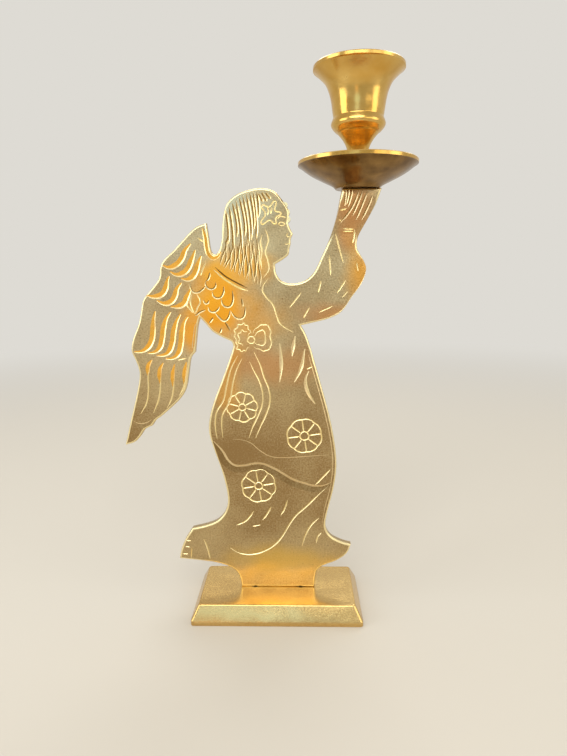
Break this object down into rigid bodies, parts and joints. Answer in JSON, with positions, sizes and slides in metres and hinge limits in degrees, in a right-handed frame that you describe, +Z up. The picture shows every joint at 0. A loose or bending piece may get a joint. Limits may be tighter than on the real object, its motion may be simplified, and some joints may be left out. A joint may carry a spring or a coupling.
{
  "type": "taper candle holder",
  "caption": "Flat cast brass angel on a sloped hollow plinth, lifting a drip pan and a flared turned cup for a taper candle; the cup unscrews.",
  "frame": {"origin": "middle of the bounding box in plan, at the level of the surface that the plinth stands on", "axes": "+Z up; +X the way the figure looks, towards the cup; -Y the engraved front"},
  "size_m": [0.1568, 0.0602, 0.2889],
  "materials": {
    "cast_brass": "satin cast and brushed, bright-cut engraving",
    "turned_brass": "polished, fine lathe lines",
    "plated_steel": "dull zinc plate"
  },
  "bodies": {
    "figure": {"base_plinth": "cast_brass", "angel_plate": "cast_brass", "lug_washer_left": "plated_steel", "lug_washer_right": "plated_steel", "lug_nut_left": "plated_steel", "lug_nut_right": "plated_steel"},
    "pan": {"drip_pan": "turned_brass"},
    "stud": {"cup_stud": "plated_steel"},
    "cup": {"candle_cup": "turned_brass"}
  },
  "joints": [
    {"name": "cup_lift", "type": "slide", "parent": "figure", "child": "stud", "axis": [0, 0, 1], "range_m": [0, 0.0084]},
    {"name": "cup_turn", "type": "hinge", "parent": "stud", "child": "cup", "pos_m": [0.04845, 0, 0.26], "axis": [0, 0, 1], "range_deg": [0, 4320]},
    {"name": "pan_turn", "type": "hinge", "parent": "figure", "child": "pan", "pos_m": [0.04845, 0, 0.235], "axis": [0, 0, 1], "continuous": true}
  ],
  "couplings": [
    {"joint": "cup_turn", "follows": "cup_lift", "rad_per_m": 8975.9}
  ]
}
